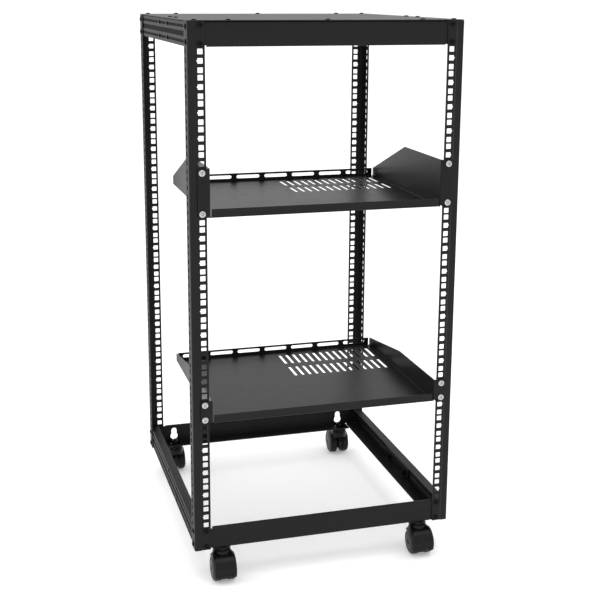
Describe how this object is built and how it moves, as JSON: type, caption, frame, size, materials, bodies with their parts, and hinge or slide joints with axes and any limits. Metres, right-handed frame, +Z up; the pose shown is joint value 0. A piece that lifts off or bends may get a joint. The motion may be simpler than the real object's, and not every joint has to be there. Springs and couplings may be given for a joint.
{
  "type": "equipment rack case",
  "caption": "Open-frame 19-inch equipment rack with square-hole posts, a top panel, two cantilevered shelves and swivelling twin-wheel casters.",
  "frame": {"origin": "on the floor under the wheels, at the centre of the rack's width and depth", "axes": "+Z up along the posts, -Y out of the front, +X to the right seen from the front"},
  "size_m": [0.51, 0.587, 1.0457],
  "materials": {
    "frame_coat": "fine-textured black powder coat, semi-matt",
    "panel_coat": "fine-textured black powder coat, a little glossier",
    "shelf_coat": "fine-textured black powder coat, soft sheen",
    "zinc": "bright zinc plate",
    "black_steel": "black oxide steel",
    "hood_plastic": "satin black moulded plastic",
    "wheel_plastic": "matt black moulded plastic tread"
  },
  "bodies": {
    "frame": {"post_front_left": "frame_coat", "post_front_right": "frame_coat", "post_rear_left": "frame_coat", "post_rear_right": "frame_coat", "beam_front_bottom": "frame_coat", "beam_front_top": "frame_coat", "beam_rear_bottom": "frame_coat", "beam_rear_top": "frame_coat", "rail_left_bottom_front": "frame_coat", "rail_left_bottom_rear": "frame_coat", "splice_left_bottom": "black_steel", "rail_left_top_front": "frame_coat", "rail_left_top_rear": "frame_coat", "splice_left_top": "black_steel", "rail_right_bottom_front": "frame_coat", "rail_right_bottom_rear": "frame_coat", "splice_right_bottom": "black_steel", "rail_right_top_front": "frame_coat", "rail_right_top_rear": "frame_coat", "splice_right_top": "black_steel", "top_panel": "panel_coat", "shelf_upper": "shelf_coat", "shelf_upper_screw_left_high": "zinc", "shelf_upper_screw_left_low": "zinc", "shelf_upper_screw_right_high": "zinc", "shelf_upper_screw_right_low": "zinc", "shelf_lower": "shelf_coat", "shelf_lower_screw_left_high": "zinc", "shelf_lower_screw_left_low": "zinc", "shelf_lower_screw_right_high": "zinc", "shelf_lower_screw_right_low": "zinc", "caster_front_left_stem": "black_steel", "caster_front_left_nut": "black_steel", "caster_front_right_stem": "black_steel", "caster_front_right_nut": "black_steel", "caster_rear_left_stem": "black_steel", "caster_rear_left_nut": "black_steel", "caster_rear_right_stem": "black_steel", "caster_rear_right_nut": "black_steel"},
    "caster_front_left": {"caster_front_left_hood": "hood_plastic", "caster_front_left_axle": "black_steel"},
    "wheel_front_left_a": {"caster_front_left_wheel_a": "wheel_plastic"},
    "wheel_front_left_b": {"caster_front_left_wheel_b": "wheel_plastic"},
    "brake_front_left": {"caster_front_left_brake": "hood_plastic"},
    "caster_front_right": {"caster_front_right_hood": "hood_plastic", "caster_front_right_axle": "black_steel"},
    "wheel_front_right_a": {"caster_front_right_wheel_a": "wheel_plastic"},
    "wheel_front_right_b": {"caster_front_right_wheel_b": "wheel_plastic"},
    "brake_front_right": {"caster_front_right_brake": "hood_plastic"},
    "caster_rear_left": {"caster_rear_left_hood": "hood_plastic", "caster_rear_left_axle": "black_steel"},
    "wheel_rear_left_a": {"caster_rear_left_wheel_a": "wheel_plastic"},
    "wheel_rear_left_b": {"caster_rear_left_wheel_b": "wheel_plastic"},
    "caster_rear_right": {"caster_rear_right_hood": "hood_plastic", "caster_rear_right_axle": "black_steel"},
    "wheel_rear_right_a": {"caster_rear_right_wheel_a": "wheel_plastic"},
    "wheel_rear_right_b": {"caster_rear_right_wheel_b": "wheel_plastic"}
  },
  "joints": [
    {"name": "caster_front_left_swivel", "type": "hinge", "parent": "frame", "child": "caster_front_left", "pos_m": [-0.2, -0.2515, 0.053], "axis": [0, 0, 1], "continuous": true},
    {"name": "wheel_front_left_a_spin", "type": "hinge", "parent": "caster_front_left", "child": "wheel_front_left_a", "pos_m": [-0.2, -0.2645, 0.025], "axis": [1, 0, 0], "continuous": true},
    {"name": "wheel_front_left_b_spin", "type": "hinge", "parent": "caster_front_left", "child": "wheel_front_left_b", "pos_m": [-0.2, -0.2645, 0.025], "axis": [1, 0, 0], "continuous": true},
    {"name": "brake_front_left_press", "type": "hinge", "parent": "caster_front_left", "child": "brake_front_left", "pos_m": [-0.2, -0.2645, 0.025], "axis": [1, 0, 0], "range_deg": [0, 8]},
    {"name": "caster_front_right_swivel", "type": "hinge", "parent": "frame", "child": "caster_front_right", "pos_m": [0.2, -0.2515, 0.053], "axis": [0, 0, 1], "continuous": true},
    {"name": "wheel_front_right_a_spin", "type": "hinge", "parent": "caster_front_right", "child": "wheel_front_right_a", "pos_m": [0.2, -0.2645, 0.025], "axis": [1, 0, 0], "continuous": true},
    {"name": "wheel_front_right_b_spin", "type": "hinge", "parent": "caster_front_right", "child": "wheel_front_right_b", "pos_m": [0.2, -0.2645, 0.025], "axis": [1, 0, 0], "continuous": true},
    {"name": "brake_front_right_press", "type": "hinge", "parent": "caster_front_right", "child": "brake_front_right", "pos_m": [0.2, -0.2645, 0.025], "axis": [1, 0, 0], "range_deg": [0, 8]},
    {"name": "caster_rear_left_swivel", "type": "hinge", "parent": "frame", "child": "caster_rear_left", "pos_m": [-0.2, 0.2515, 0.053], "axis": [0, 0, 1], "continuous": true},
    {"name": "wheel_rear_left_a_spin", "type": "hinge", "parent": "caster_rear_left", "child": "wheel_rear_left_a", "pos_m": [-0.2, 0.2645, 0.025], "axis": [1, 0, 0], "continuous": true},
    {"name": "wheel_rear_left_b_spin", "type": "hinge", "parent": "caster_rear_left", "child": "wheel_rear_left_b", "pos_m": [-0.2, 0.2645, 0.025], "axis": [1, 0, 0], "continuous": true},
    {"name": "caster_rear_right_swivel", "type": "hinge", "parent": "frame", "child": "caster_rear_right", "pos_m": [0.2, 0.2515, 0.053], "axis": [0, 0, 1], "continuous": true},
    {"name": "wheel_rear_right_a_spin", "type": "hinge", "parent": "caster_rear_right", "child": "wheel_rear_right_a", "pos_m": [0.2, 0.2645, 0.025], "axis": [1, 0, 0], "continuous": true},
    {"name": "wheel_rear_right_b_spin", "type": "hinge", "parent": "caster_rear_right", "child": "wheel_rear_right_b", "pos_m": [0.2, 0.2645, 0.025], "axis": [1, 0, 0], "continuous": true}
  ]
}
